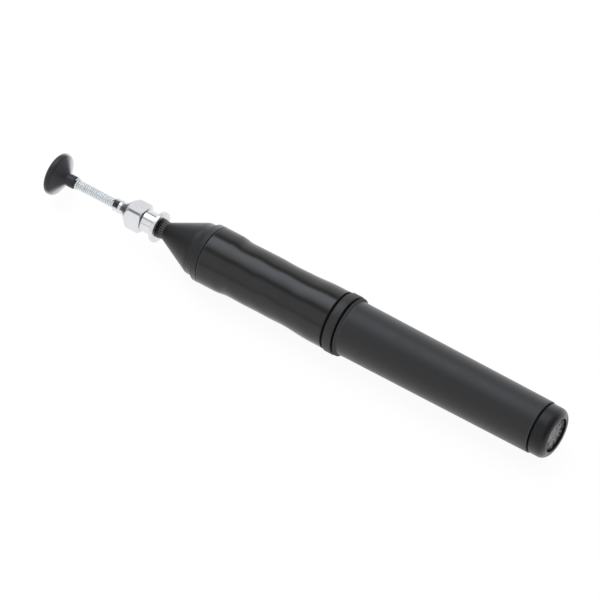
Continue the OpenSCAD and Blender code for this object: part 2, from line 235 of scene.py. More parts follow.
# Places in the materials. A step has its start and its end. A band has its start, where it is
# full, where it fades and its end. Names with RADIUS are radii, and the rest are stations.
CUP_SHEEN_BAND = (CUP_LIP + 0.5, CUP_LIP + 1.5, CUP_LIP + 3.7, CUP_LIP + 4.5)
HUB_CORNER_RADIUS_STEP = (CORNER_R - 0.05, CORNER_R - 0.01)
HUB_SQUARE_BAND = (CONE_REAR - 0.4, CONE_REAR, SQUARE_REAR, SQUARE_REAR + 0.1)
HUB_CHAMFER_DARK_BAND = (SQUARE_REAR - 0.34, SQUARE_REAR - 0.22, SQUARE_REAR - 0.02, SQUARE_REAR + 0.06)
HUB_NECK_BAND = (SQUARE_REAR - 0.05, SQUARE_REAR + 0.05, -FLANGE_T - 0.3, -FLANGE_T)
NOSE_SHOULDER_STEP = (CONE_END - 0.6, CONE_END + 0.8)
NOSE_LIP_BAND = (LIP_START - 0.3, LIP_START, LIP_FRONT, LIP_FRONT + 0.2)
RIB_CREST_RADIUS_STEP = (NOSE_NECK_R + 0.02, NOSE_NECK_R + 0.12)
RIB_BAND = (NOSE_COLLAR_REAR, NOSE_COLLAR_REAR + 0.1, CONE_START, CONE_START + 0.5)
SLEEVE_FRONT_STEP = (SLEEVE_FRONT + 0.3, SLEEVE_FRONT + 0.1)
SLEEVE_REAR_STEP = (SLEEVE_REAR - 0.34, SLEEVE_REAR - 0.22)
RING_GROOVE_RADIUS_STEP = (GROOVE_R + 0.3, GROOVE_R + 0.1)
BEAD_STEP = (BARREL_FRONT + BEAD_L + 0.4, BARREL_FRONT + BEAD_L)
BEAD_CREST_STEP = (BARREL_FRONT + 0.42, BARREL_FRONT + 0.22)
BARREL_END_STEP = (BARREL_REAR - 0.22, BARREL_REAR - 0.1)
CAP_GROOVE_STEP = (CAP_FRONT + 0.08, CAP_FRONT - 0.02)
RIM_RADIUS_BAND = (RECESS_R - 0.02, RECESS_R + 0.02, RECESS_R + 0.05, RECESS_R + 0.2)
RIM_STEP = (CAP_END - 0.2, CAP_END - 0.08)
RECESS_RADIUS_STEP = (RECESS_R + 0.06, RECESS_R + 0.02)
RECESS_BAND = (CAP_FRONT, CAP_FRONT + 1.0, CAP_END - 0.14, CAP_END - 0.08)

# Colours laid over the base colours. Apart from the ring's grit and the disc's pits, they are painted light
# and shade: sheens, highlights, dark reflections and shade in grooves and recesses.
CUP_PAINTED_SHEEN = (0.80, 0.80, 0.86)
HUB_CORNER_DARK_REFLECTION = (0.27, 0.265, 0.28)
HUB_CHAMFER_DARK_LINE = (0.16, 0.155, 0.165)
NOSE_SHOULDER_LIGHT = (0.021, 0.021, 0.0225)
NOSE_SHEEN = (0.55, 0.55, 0.55)
RIB_CREST_HIGHLIGHT = (0.105, 0.099, 0.093)
SLEEVE_SEAM_LIGHT = (0.07, 0.07, 0.07)
RING_GRIT = (0.044, 0.044, 0.043)
BARREL_SHEEN = (0.27, 0.27, 0.27)
BEAD_SLOPE_LIGHT = (0.042, 0.042, 0.043)
BEAD_CREST_LIGHT = (0.03, 0.03, 0.031)
BARREL_END_HIGHLIGHT = (0.045, 0.045, 0.048)
CAP_SHEEN = (0.27, 0.27, 0.28)
RIM_HIGHLIGHT = (0.30, 0.30, 0.31)
RECESS_WALL_SHADE = (0.014, 0.014, 0.014)
DISC_PITS = (0.026, 0.026, 0.026)
GROOVE_SHADE = (0.001, 0.001, 0.001)

# Painted dark reflections on the hub: the side they are on, up and to the front, and the shares of that
# side between which they grow. On the collar they are two bands, each with its colour.
DARK_REFLECTION_SIDE = (0.0, -0.48, 0.877)
DARK_REFLECTION_STEP = (0.32, 0.75)
COLLAR_STEP = (0.71, 0.92)
COLLAR_BANDS = [((-13.2, -13.05, -11.68, -11.5), (0.05, 0.048, 0.05)),
                ((-11.1, -10.85, -9.0, -8.6), (0.14, 0.136, 0.14))]
# Share of the hub's roughness that is left on its polished neck
NECK_POLISH = 0.3

# How far the cup's back turns away from the eye where its painted sheen begins and where it is full
CUP_SLANT_STEP = (0.38, 0.78)

# Gloss and texture. Clouds use part of a noise's range, and specks are sparser than the grain.
CLOUD_SPAN = (0.3, 0.7)
SPECKS_PER_GRAIN = 0.35
SPECK_REACH = 0.25
MARK_CLOUDS_PER_METRE = 700.0
MARK_CLOUD_FACTORS = (0.6, 1.2)
MARK_SPAN = (0.2, 0.8)
SHEEN_POWER = 3.0
NOSE_SHEEN_POWER = 2.5
NOSE_LIP_ROUGHNESS = 0.72
BEAD_ROUGHNESS = 0.75
RING_GRIT_PER_METRE = 4500.0
RING_GRIT_SPAN = (0.5, 0.75)
PITS_PER_METRE = 1250.0
PIT_SPAN = (0.2, 0.38)
# Pits are wider towards the disc's rim: radii between which they grow, and by how much
PIT_GROWTH_RADII = (2.0, 3.4)
PIT_GROWTH = 0.34

# Camera, with distances in metres
PHOTO_PIXELS = 600
FOCAL_PIXELS = 5000.0
SENSOR_MM = 36.0
CLIP_NEAR = 0.05
CLIP_FAR = 20
CAMERA_AZIMUTH = math.radians(34.46)
CAMERA_ELEVATION = math.radians(50.58)
CAMERA_DISTANCE = 1.1608
CAMERA_AIM = np.array([-0.00043, 0.00044, 0.0072])
LENS_SIDE = np.array([math.sin(CAMERA_AZIMUTH) * math.cos(CAMERA_ELEVATION),
                      -math.cos(CAMERA_AZIMUTH) * math.cos(CAMERA_ELEVATION), math.sin(CAMERA_ELEVATION)])

# Table and light, with distances in metres
TABLE_REACH = 3.0
TABLE_WHITE = (0.8, 0.8, 0.8)
TABLE_SEEN = (0.09, 0.09, 0.09)
TABLE_GLOW = 0.93
TABLE_ROUGHNESS = 0.9
SOFTBOX_TOWARDS = (-0.36, 0.24, 0.90)
SOFTBOX_DISTANCE = 0.7
SOFTBOX_SIZE = (0.5, 0.56)
SOFTBOX_RADIANCE = 2.2
SOFTBOX_COLOUR = (0.94, 0.97, 1.0)
ROOM_LIGHT = 0.7
ROOM_SEEN = 0.95
ROOM_COLOUR = (0.98, 0.985, 1.0)
# Bands of the room: where each starts, is full, fades and ends, in degrees, and its factor
ROOM_BANDS = [((-4, 8, 13, 24), 0.52), ((64, 76, 80, 100), 0.45),
              ((-64, -54, -46, -34), 0.82), ((96, 120, 170, 180), 1.13)]
# The lamp in the room: its angles, its shares along the axis, its factor and its tint
LAMP_ANGLES = (12, 50, 60, 76)
LAMP_LENGTH = (-1.3, -1.2, 0.0, 0.25)
LAMP_FACTOR = 2.75
LAMP_COLOUR = (0.86, 0.92, 1.0)
# Ends of the room: share along the axis where the dark begins and is full, and its factor
ROOM_ENDS = [((0.42, 0.68), 0.32), ((-0.6, -0.88), 0.55)]


def arc(centre, radius, start, end, steps=10):
    """Points of a circle about centre, at even angles in degrees from start to end."""
    angle = np.radians(np.linspace(start, end, steps + 1))
    return np.array(centre) + radius * np.stack([np.cos(angle), np.sin(angle)], axis=1)


def rounded(corners, radii, steps=5):
    """A line through corners, each rounded to its radius by a circular arc.

    The arc is the rational quadratic curve with the corner as its middle control point and the
    cosine of half the turn as its weight. It meets both straight sides where they touch the arc,
    and takes up less than half of either. The first and last corner stay sharp.
    """
    corners = np.asarray(corners, float)
    radii = np.broadcast_to(np.asarray(radii, float), len(corners))[1:-1]
    into = corners[1:-1] - corners[:-2]
    away = corners[2:] - corners[1:-1]
    into_l = np.linalg.norm(into, axis=1, keepdims=True)
    away_l = np.linalg.norm(away, axis=1, keepdims=True)
    into /= into_l
    away /= away_l
    turn = np.arccos(np.clip((into * away).sum(1), -1, 1))
    most = CORNER_SHARE * np.minimum(into_l[:, 0], away_l[:, 0])
    reach = np.minimum(radii * np.tan(turn / 2), most)[:, None]
    first = (corners[1:-1] - reach * into)[:, None]
    last = (corners[1:-1] + reach * away)[:, None]
    t = np.linspace(0, 1, steps + 1)[None, :, None]
    weight = np.cos(turn / 2)[:, None, None]
    low = (1 - t) ** 2
    mid = 2 * weight * t * (1 - t)
    high = t ** 2
    bend = (low * first + mid * corners[1:-1][:, None] + high * last) / (low + mid + high)
    return np.concatenate([corners[:1], bend.reshape(-1, 2), corners[-1:]])


def ease(start, end, steps=12):
    """A smooth step between two points: the station runs evenly, the radius along half a cosine."""
    t = np.linspace(0, 1, steps + 1)
    radius = start[0] + (end[0] - start[0]) * (1 - np.cos(math.pi * t)) / 2
    return np.stack([radius, start[1] + (end[1] - start[1]) * t], axis=1)


def hollow(radius, start, end, depth, steps=10):
    """A shallow hollow round a cylinder: the radius dips by depth times half a sine wave."""
    t = np.linspace(0, 1, steps + 1)
    return np.stack([radius - depth * np.sin(math.pi * t), start + (end - start) * t], axis=1)


def dense(path, step):
    """The same line with extra points at every step of its length, so that no stretch is longer."""
    length = np.concatenate([[0.0], np.cumsum(np.linalg.norm(np.diff(path, axis=0), axis=1))])
    keep = np.concatenate([[True], np.diff(length) > TINY])
    length = length[keep]
    path = path[keep]
    at = np.concatenate([length, np.arange(0, length[-1], step)])
    at = np.unique(at.round(LENGTH_PLACES))
    at = at[np.concatenate([[True], np.diff(at) > LEAST_GAP])]
    return np.stack([np.interp(at, length, path[:, 0]), np.interp(at, length, path[:, 1])], axis=1)


def on_pen(radius, station, turn):
    """Points at a radius from the pen's axis, a station along it and a turn round it.

    The point is the axis's start plus station along the axis plus radius outwards, with turn 0
    straight up and a quarter turn towards +Y.
    """
    radius = np.asarray(radius)[..., None]
    station = np.asarray(station)[..., None]
    turn = np.asarray(turn)[..., None]
    outward = np.cos(turn) * UPWARD + np.sin(turn) * ACROSS
    return (AXIS_START + station * ALONG + radius * outward) * MM


def mesh_piece(name, points, faces, body, node, crease):
    """One named mesh from points and faces, smooth except across edges sharper than crease degrees."""
    mesh = bpy.data.meshes.new(name)
    mesh.from_pydata(points, [], faces)
    mesh.validate()
    mesh.shade_smooth()
    mesh.set_sharp_from_angle(angle=math.radians(crease))
    piece = bpy.data.objects.new(name, mesh)
    bpy.context.scene.collection.objects.link(piece)
    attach(piece, body)
    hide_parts(node)
    return piece


def grid_faces(rows, columns, wrap_rows):
    """Quads of a grid that closes round its columns, and round its rows too if wrap_rows."""
    row = np.arange(rows if wrap_rows else rows - 1)[:, None]
    column = np.arange(columns)[None, :]
    next_row = (row + 1) % rows
    next_column = (column + 1) % columns
    quads = np.stack([row * columns + column, next_row * columns + column,
                      next_row * columns + next_column, row * columns + next_column], axis=-1)
    return quads.reshape(-1, 4)


def fans(rows, columns):
    """Faces that close a grid's first and last row, each row to one point added after the grid's."""
    first = np.arange(columns)
    after = (first + 1) % columns
    start_point = np.full_like(first, rows * columns)
    to_last = (rows - 1) * columns
    return np.concatenate([np.stack([start_point, first, after], axis=1),
                           np.stack([start_point + 1, after + to_last, first + to_last], axis=1)])


def turned(name, path, body, node, turns=256, shape=None, crease=28):
    """A round piece: the outline path of (radius, station) carried round the pen's axis.

    The path runs so that the material is on its left, seen with the radius to the right and the
    station up. It closes on itself, or begins and ends on the axis, where each end is one point.
    turns is a number of even turns, or the turns themselves. shape, if given, changes the radius
    by (radius, station, turn).
    """
    turn = np.linspace(0, FULL_TURN, turns, endpoint=False) if np.isscalar(turns) else turns
    on_axis = path[0, 0] < TINY
    rings = path[1:-1] if on_axis else path
    radius = np.repeat(rings[:, :1], len(turn), axis=1)
    station = np.repeat(rings[:, 1:], len(turn), axis=1)
    around = np.broadcast_to(turn, radius.shape)
    if shape:
        radius = shape(radius, station, around)
    points = on_pen(radius, station, around).reshape(-1, 3)
    faces = grid_faces(len(rings), len(turn), not on_axis).tolist()
    if on_axis:
        ends = on_pen(np.zeros(2), path[[0, -1], 1], np.zeros(2))
        points = np.concatenate([points, ends])
        faces += fans(len(rings), len(turn)).tolist()
    return mesh_piece(name, points.tolist(), faces, body, node, crease)


def cup_outline():
    """Rounded rim, sloping back, fillet, stem, tube socket, air hole and hollow, closed.

    The hollow is a quarter of an ellipse.
    """
    rim = np.array([CUP_R - CUP_RIM_R, CUP_RIM_R - CUP_LIP_CUT])
    lip_angle = math.degrees(math.asin(rim[1] / CUP_RIM_R))
    slope = math.degrees(CUP_BACK_ANGLE)
    normal = np.array([math.sin(CUP_BACK_ANGLE), math.cos(CUP_BACK_ANGLE)])
    back = rim + CUP_RIM_R * normal
    fillet_x = CUP_STEM_R + CUP_FILLET_R
    fillet_z = back[1] + (CUP_FILLET_R - normal[0] * (fillet_x - back[0])) / normal[1]
    socket = CUP_DEPTH + CUP_WEB
    lip_r = rim[0] + CUP_RIM_R * math.cos(math.radians(lip_angle))
    lip_inner = lip_r - CUP_LIP_W
    t = np.radians(np.linspace(90, 0, CUP_HOLLOW_SAMPLES))
    inside = np.stack([CUP_FLOOR_R + (lip_inner - CUP_FLOOR_R) * np.cos(t), CUP_DEPTH * np.sin(t)], axis=1)
    stem = rounded([[CUP_STEM_R, fillet_z], [CUP_STEM_R, CUP_L], [SEAT_R, CUP_L], [SEAT_R, socket],
                    [CUP_HOLE_R, socket], [CUP_HOLE_R, CUP_DEPTH], [CUP_FLOOR_R, CUP_DEPTH]],
                   [0, CUP_STEM_EDGE, CUP_SEAT_EDGE, EDGE_FINE, EDGE_FINE, CUP_HOLE_EDGE, 0])
    path = np.concatenate([
        arc(rim, CUP_RIM_R, -lip_angle, 90 - slope, steps=28),
        arc([fillet_x, fillet_z], CUP_FILLET_R, 270 - slope, 180, steps=16),
        stem[1:-1], inside])
    return path + [0, CUP_LIP]


def suction_cup():
    """The rubber cup, its rim a little uneven as moulded rubber is.

    The outline is carried round the axis, and its radius gets two low sine waves that grow from
    nothing near the stem to their full height at the rim.
    """
    def soft(radius, station, turn):
        sway = sum(height * np.sin(count * turn + phase) for height, count, phase in CUP_WAVES)
        share = (radius - CUP_WAVE_START_R) / (CUP_WAVE_FULL_R - CUP_WAVE_START_R)
        return radius + sway * np.clip(share, 0, 1)
    path = dense(cup_outline(), step=0.25)
    return turned("cup_moulding", path, "cup", "suction_cup",
                  turns=224, shape=soft, crease=40)


def needle_tube():
    """Thin drawn tube: a long rectangle with rounded corners, carried round the axis."""
    path = rounded([[TUBE_R, TUBE_MIDDLE], [TUBE_R, TUBE_REAR], [TUBE_BORE_R, TUBE_REAR],
                    [TUBE_BORE_R, TUBE_FRONT], [TUBE_R, TUBE_FRONT], [TUBE_R, TUBE_MIDDLE]], EDGE_THIN)[:-1]
    return turned("tip_tube", path, "tip", "needle_tube", turns=64)


def guard_spring():
    """Round wire wound close along the tube.

    The wire's centre line is a helix of even pitch, whose first turn and a half flares out. Round
    it goes a small circle in the plane of the pen's axis, whose radius shrinks to nothing at the
    two ends.
    """
    sides = 16
    steps_per_turn = 48
    mean_r = SEAT_R + WIRE_R
    start = COIL_FRONT + COIL_END_GAP + WIRE_R
    rise = COIL_REAR - COIL_FRONT - 2 * (COIL_END_GAP + WIRE_R)
    coils = rise / WIRE_PITCH
    helix = np.linspace(0, 1, int(coils * steps_per_turn) + 1)
    extra = len(WIRE_END_SHARES)
    size = np.concatenate([WIRE_END_SHARES, np.ones(len(helix)), WIRE_END_SHARES[::-1]])[:, None] * WIRE_R
    along = np.concatenate([np.zeros(extra), helix, np.ones(extra)])[:, None]
    creep = np.concatenate([-WIRE_END_REACH, np.zeros(len(helix)), WIRE_END_REACH[::-1]])[:, None]
    side = np.linspace(0, FULL_TURN, sides, endpoint=False)[None, :]
    flare = COIL_FLARE * np.clip(COIL_FLARE_TURNS - coils * along, 0, 1)
    radius = mean_r + flare + size * np.cos(side)
    station = start + rise * along + size * np.sin(side)
    turn = FULL_TURN * coils * along + creep + 0 * side
    points = on_pen(radius, station, turn).reshape(-1, 3)
    faces = grid_faces(len(along), sides, False)[:, ::-1]
    return mesh_piece("tip_coil", points.tolist(), faces.tolist(), "tip", "guard_spring",
                      crease=60)


def hub_outline():
    """Collar with two hollow bands, cone, corners, chamfer, neck, flange, socket and tube seat.

    The bands are half sine waves, and the rest are straight lines with rounded corners.
    """
    ridge_front = HUB_FRONT + (COLLAR_REAR - HUB_FRONT - COLLAR_RIDGE_W) / 2
    socket_r = LUER_R - LUER_RATE * SOCKET_L
    front = rounded([[SEAT_R, HUB_FRONT], [COLLAR_R - HUB_EDGE, HUB_FRONT],
                     [COLLAR_R, HUB_FRONT + HUB_EDGE]], EDGE_THIN)
    bands = np.concatenate([
        hollow(COLLAR_R, HUB_FRONT + HUB_EDGE, ridge_front, COLLAR_HOLLOW),
        hollow(COLLAR_R, ridge_front + COLLAR_RIDGE_W, COLLAR_REAR, COLLAR_HOLLOW)])
    chamfer_front = SQUARE_REAR - SQUARE_CHAMFER
    cone = dense(np.array([[COLLAR_R, COLLAR_REAR], [CORNER_R, CONE_REAR]]), step=0.06)
    square = dense(np.array([[CORNER_R, CONE_REAR], [CORNER_R, chamfer_front]]), step=0.3)
    chamfer = dense(np.array([[CORNER_R, chamfer_front], [HUB_NECK_R, SQUARE_REAR]]), step=0.04)
    rear = rounded([[HUB_NECK_R, SQUARE_REAR], [HUB_NECK_R, -FLANGE_T],
                    [FLANGE_R, -FLANGE_T], [FLANGE_R, 0], [LUER_R + SOCKET_CHAMFER, 0],
                    [LUER_R - LUER_RATE * SOCKET_CHAMFER, -SOCKET_CHAMFER], [socket_r, -SOCKET_L],
                    [TUBE_BORE_R, -SOCKET_L], [TUBE_BORE_R, TUBE_REAR], [SEAT_R, TUBE_REAR],
                    [SEAT_R, HUB_FRONT]],
                   [0, HUB_NECK_FILLET_R, FLANGE_EDGE, FLANGE_EDGE, EDGE_THIN, EDGE_THIN, EDGE_THIN,
                    EDGE_THIN, EDGE_FINE, EDGE_FINE, 0])
    path = np.concatenate([front[1:-1], bands, cone[1:], square[1:], chamfer[1:], rear[1:]])
    keep = np.concatenate([[True], np.linalg.norm(np.diff(path, axis=0), axis=1) > TINY])
    return path[keep]


def luer_hub():
    """The turned outline cut by four flats.

    Up to the square's rear face the radius is the smaller of the turned one and the flat's, which
    is half the width across flats over the cosine of the angle from its normal.
    """
    corner = math.acos(HALF_FLATS / CORNER_R)
    across_flat = np.linspace(-corner, corner, FLAT_SAMPLES)
    across_corner = np.linspace(corner, QUARTER_TURN - corner, CORNER_SAMPLES)[1:-1]
    quarter = np.concatenate([across_flat, across_corner])
    first_flat = QUARTER_TURN / 2 - HUB_TURN
    turns = (first_flat + quarter[None, :] + np.arange(4)[:, None] * QUARTER_TURN).ravel()

    def milled(radius, station, turn):
        off_normal = (turn - first_flat + QUARTER_TURN / 2) % QUARTER_TURN - QUARTER_TURN / 2
        flat = HALF_FLATS / np.cos(off_normal)
        return np.where(station < SQUARE_REAR + TINY, np.minimum(radius, flat), radius)
    path = hub_outline()
    return turned("tip_hub", path, "tip", "luer_hub", turns=turns, shape=milled, crease=25)


def nose_cone():
    """Taper, collar, ribbed neck, cone, shoulder band, lip and the sleeve's spigot.

    A rib is part of a small circle that stands out of the neck, and the radius is the larger of
    its height and the turned outline, so that the ribs run out into the cone.
    """
    taper_r = LUER_R - SEAT_CLEAR
    front = rounded([
        [AIR_BORE_R, AIR_BORE_MIDDLE], [AIR_BORE_R, -LUER_L], [taper_r - LUER_RATE * LUER_L, -LUER_L],
        [taper_r, 0], [taper_r, NOSE_GAP], [NOSE_COLLAR_R, NOSE_GAP], [NOSE_COLLAR_R, NOSE_COLLAR_REAR],
        [NOSE_NECK_R, NOSE_COLLAR_REAR], [NOSE_NECK_R, CONE_START], [SHOULDER_R, CONE_END],
        [SHOULDER_R, LIP_START]],
        [0, EDGE_SMALL, EDGE_MIDDLE, 0, EDGE_FINE, NOSE_COLLAR_EDGE, NOSE_COLLAR_EDGE, EDGE_FINE,
         NECK_FILLET_R, SHOULDER_ROUND, 0], steps=7)
    rear = rounded([
        [LIP_R, LIP_FRONT], [LIP_R, NOSE_REAR], [SLEEVE_SPIGOT_R, NOSE_REAR],
        [SLEEVE_SPIGOT_R, NOSE_SPIGOT_END], [CORE_SOCKET_R, NOSE_SPIGOT_END],
        [CORE_SOCKET_R, CORE_FRONT], [AIR_BORE_R, CORE_FRONT], [AIR_BORE_R, AIR_BORE_MIDDLE]],
        [0, LIP_EDGE, EDGE_THIN, EDGE_MIDDLE, EDGE_SMALL, EDGE_THIN, EDGE_THIN, 0])
    step = ease([SHOULDER_R, LIP_START], [LIP_R, LIP_FRONT])
    path = np.concatenate([front, step[1:-1], rear[:-1]])

    def ribbed(radius, station, turn):
        share = turn / FULL_TURN * RIB_COUNT
        centre_r = NOSE_NECK_R + RIB_RISE - RIB_R
        from_rib = (share - np.round(share)) * FULL_TURN / RIB_COUNT * centre_r
        rib = centre_r + np.sqrt(np.maximum(RIB_R ** 2 - from_rib ** 2, 0))
        in_reach = (station > NOSE_COLLAR_REAR - TINY) & (station < RIB_LIMIT)
        outside = radius > NOSE_NECK_R - TINY
        return np.where(in_reach & outside, np.maximum(radius, rib), radius)
    return turned("nose_moulding", dense(path, step=0.25), "pen", "nose_cone",
                  turns=RIB_COUNT * RIB_SAMPLES, shape=ribbed)


def squeeze_sleeve():
    """Rubber tube with swollen ends, and a slight unevenness in its wall.

    The outer radius gets three low waves that run round and along the sleeve and fade at its ends.
    """
    front_end = SLEEVE_FRONT + SLEEVE_FRONT_L
    rear_end = SLEEVE_REAR - SLEEVE_REAR_L
    path = np.concatenate([
        [[SLEEVE_BORE_R, SLEEVE_MIDDLE], [SLEEVE_BORE_R, SLEEVE_FRONT]],
        arc([SLEEVE_END_R - SLEEVE_EDGE_R, SLEEVE_FRONT + SLEEVE_EDGE_R], SLEEVE_EDGE_R, -90, 0, steps=16),
        ease([SLEEVE_END_R, front_end], [SLEEVE_WAIST_R, front_end + SLEEVE_FRONT_SLOPE], steps=16),
        ease([SLEEVE_WAIST_R, rear_end - SLEEVE_REAR_SLOPE], [SLEEVE_END_R, rear_end], steps=20),
        arc([SLEEVE_END_R - RING_EDGE_R, SLEEVE_REAR - RING_EDGE_R], RING_EDGE_R, 0, 90, steps=8),
        [[SLEEVE_BORE_R, SLEEVE_REAR]]])

    def uneven(radius, station, turn):
        from_front = station - SLEEVE_FRONT
        from_rear = SLEEVE_REAR - station
        wave = sum(height * np.sin(count * turn + rate * from_front + phase)
                   for height, count, rate, phase in SLEEVE_WAVES)
        fade = np.clip((from_front - SLEEVE_WAVE_START) / SLEEVE_WAVE_FADE, 0, 1)
        fade = fade * np.clip((from_rear - SLEEVE_WAVE_START) / SLEEVE_WAVE_FADE, 0, 1)
        return radius + np.where(radius > SLEEVE_BORE_R + TINY, (wave - SLEEVE_WAVE_SINK) * fade, 0)
    return turned("sleeve_rubber", dense(path, step=0.5), "pen", "squeeze_sleeve",
                  shape=uneven, crease=35)


def joint_coupling():
    """Raised ring between two grooves, with a spigot to each side and a closed wall.

    Straight lines with rounded corners, from the axis and back to it, are carried round the axis.
    """
    path = rounded([
        [0, CORE_REAR], [CORE_SOCKET_R, CORE_REAR], [CORE_SOCKET_R, COUPLING_FRONT],
        [SLEEVE_SPIGOT_R, COUPLING_FRONT], [SLEEVE_SPIGOT_R, SLEEVE_REAR], [GROOVE_R, SLEEVE_REAR],
        [GROOVE_R, RING_FRONT], [RING_R, RING_FRONT], [RING_R, RING_REAR], [GROOVE_R, RING_REAR],
        [GROOVE_R, BARREL_FRONT], [BARREL_SPIGOT_R, BARREL_FRONT], [BARREL_SPIGOT_R, COUPLING_REAR],
        [SPIGOT_BORE_R, COUPLING_REAR], [SPIGOT_BORE_R, BARREL_FRONT], [0, BARREL_FRONT]],
        [0, EDGE_THIN, EDGE_MIDDLE, EDGE_BROAD, EDGE_FINE, EDGE_FINE, EDGE_THIN, RING_EDGE_R,
         RING_EDGE_R, EDGE_THIN, EDGE_FINE, EDGE_FINE, EDGE_BROAD, EDGE_MIDDLE, EDGE_THIN, 0])
    return turned("ring_moulding", path, "pen", "joint_coupling")


def rear_barrel():
    """Tapered tube with a beaded front edge.

    The bead is a quarter circle and half a cosine down to the straight taper, and the rear edge a
    quarter circle. The outline is carried round the axis.
    """
    path = np.concatenate([
        [[BARREL_BORE_R, BARREL_MIDDLE], [BARREL_BORE_R, BARREL_FRONT]],
        arc([BEAD_R - RING_EDGE_R, BARREL_FRONT + RING_EDGE_R], RING_EDGE_R, -90, 0, steps=8),
        ease([BEAD_R, BARREL_FRONT + RING_EDGE_R], [BARREL_FRONT_R, BARREL_FRONT + BEAD_L]),
        arc([BARREL_REAR_R - BARREL_EDGE_R, BARREL_REAR - BARREL_EDGE_R], BARREL_EDGE_R, 0, 90, steps=8),
        [[BARREL_BORE_R, BARREL_REAR]]])
    return turned("barrel_moulding", dense(path, step=1.5), "pen", "rear_barrel",
                  crease=35)


def end_cap():
    """Plug with a rounded end and a round recess.

    Straight lines with rounded corners, and a quarter circle at the end, are carried round the axis.
    """
    rim_r = CAP_R - CAP_ROUND_R
    plug = rounded([
        [0, BARREL_REAR], [SPIGOT_BORE_R, BARREL_REAR], [SPIGOT_BORE_R, CAP_SPIGOT_FRONT],
        [BARREL_SPIGOT_R, CAP_SPIGOT_FRONT], [BARREL_SPIGOT_R, BARREL_REAR], [CAP_GROOVE_R, BARREL_REAR],
        [CAP_GROOVE_R, CAP_FRONT], [CAP_R, CAP_FRONT], [CAP_R, CAP_END - CAP_ROUND_R]],
        [0, EDGE_THIN, EDGE_MIDDLE, EDGE_BROAD, EDGE_FINE, EDGE_FINE, EDGE_THIN, EDGE_MIDDLE, 0])
    dome = arc([rim_r, CAP_END - CAP_ROUND_R], CAP_ROUND_R, 0, 90, steps=24)
    recess = rounded([[rim_r, CAP_END], [RECESS_R, CAP_END], [RECESS_R, RECESS_FLOOR], [0, RECESS_FLOOR]],
                     [0, EDGE_SMALL, EDGE_THIN, 0])
    path = np.concatenate([plug[:-1], dome, recess[1:]])
    return turned("cap_moulding", path, "pen", "end_cap")


def end_disc():
    """Round disc whose rear face is pressed grit.

    The face is a polar grid, raised and sunk by the sum of many grains and pits at random places,
    each shaped as a bell curve.
    """
    rear = RECESS_FLOOR + DISC_T
    turn = np.linspace(0, FULL_TURN, DISC_TURNS, endpoint=False)
    shares = np.linspace(1, 0, DISC_RINGS, endpoint=False)
    radius = (shares * (DISC_R - DISC_EDGE))[:, None] + 0 * turn[None, :]
    flat = np.stack([radius * np.cos(turn), radius * np.sin(turn)], axis=-1)
    draw = np.random.default_rng(GRAIN_SEED)
    spots = draw.uniform(-DISC_R, DISC_R, (GRAIN_COUNT, 2))
    heights = draw.uniform(*GRAIN_HEIGHTS, GRAIN_COUNT)
    widths = draw.uniform(*GRAIN_WIDTHS, GRAIN_COUNT)
    gap = ((flat[:, :, None, :] - spots) ** 2).sum(-1)
    relief = (heights * np.exp(-gap / (2 * widths ** 2))).sum(-1)
    side = np.array([[DISC_R, RECESS_FLOOR], [DISC_R, rear - DISC_EDGE]])
    side_r = np.repeat(side[:, :1], len(turn), axis=1)
    side_z = np.repeat(side[:, 1:], len(turn), axis=1)
    all_r = np.concatenate([side_r, radius])
    all_z = np.concatenate([side_z, rear + np.clip(relief, *RELIEF_LIMITS)])
    points = on_pen(all_r, all_z, np.broadcast_to(turn, all_r.shape)).reshape(-1, 3)
    ends = on_pen(np.zeros(2), np.array([RECESS_FLOOR, rear]), np.zeros(2))
    points = np.concatenate([points, ends])
    faces = grid_faces(*all_r.shape, False).tolist() + fans(*all_r.shape).tolist()
    return mesh_piece("grit_disc", points.tolist(), faces, "pen", "end_disc", crease=70)


class Nodes:
    """Short calls to add and link nodes in one node tree."""

    def __init__(self, tree):
        self.tree = tree
        self.link = tree.links.new

    def add(self, kind, inputs=None, **settings):
        """A node with its settings, and its inputs as constants or as sockets to link from."""
        node = self.tree.nodes.new(kind)
        for key, value in settings.items():
            setattr(node, key, value)
        for key, value in (inputs or {}).items():
            socket = node.inputs[key]
            if isinstance(value, bpy.types.NodeSocket):
                self.link(value, socket)
            else:
                socket.default_value = value
        return node

    def math(self, operation, *values):
        """One Math node's result."""
        return self.add("ShaderNodeMath", dict(enumerate(values)), operation=operation).outputs[0]

    def times(self, first, second):
        """One value times another."""
        return self.math("MULTIPLY", first, second)

    def vector(self, operation, output, *values):
        """One output of a Vector Math node."""
        return self.add("ShaderNodeVectorMath", dict(enumerate(values)), operation=operation).outputs[output]

    def span(self, value, low, high, to_low, to_high):
        """A value moved from one range to another, and held inside it."""
        return self.add("ShaderNodeMapRange", {0: value, 1: low, 2: high, 3: to_low, 4: to_high}).outputs[0]

    def step(self, value, low, high):
        """A soft step of a value from 0 at low to 1 at high."""
        inputs = {0: value, 1: low, 2: high, 3: 0.0, 4: 1.0}
        return self.add("ShaderNodeMapRange", inputs, interpolation_type="SMOOTHSTEP").outputs[0]

    def band(self, value, start, full, fade, end):
        """1 where a value is between full and fade, with a soft step to 0 on either side."""
        return self.times(self.step(value, start, full), self.step(value, end, fade))

    def noise(self, place, scale, detail, roughness):
        """A cloudy noise's value."""
        inputs = {"Vector": place, "Scale": scale, "Detail": detail, "Roughness": roughness}
        return self.add("ShaderNodeTexNoise", inputs).outputs["Fac"]

    def cells(self, place, scale):
        """How far a place is from the nearest of many scattered points."""
        return self.add("ShaderNodeTexVoronoi", {"Vector": place, "Scale": scale}).outputs["Distance"]


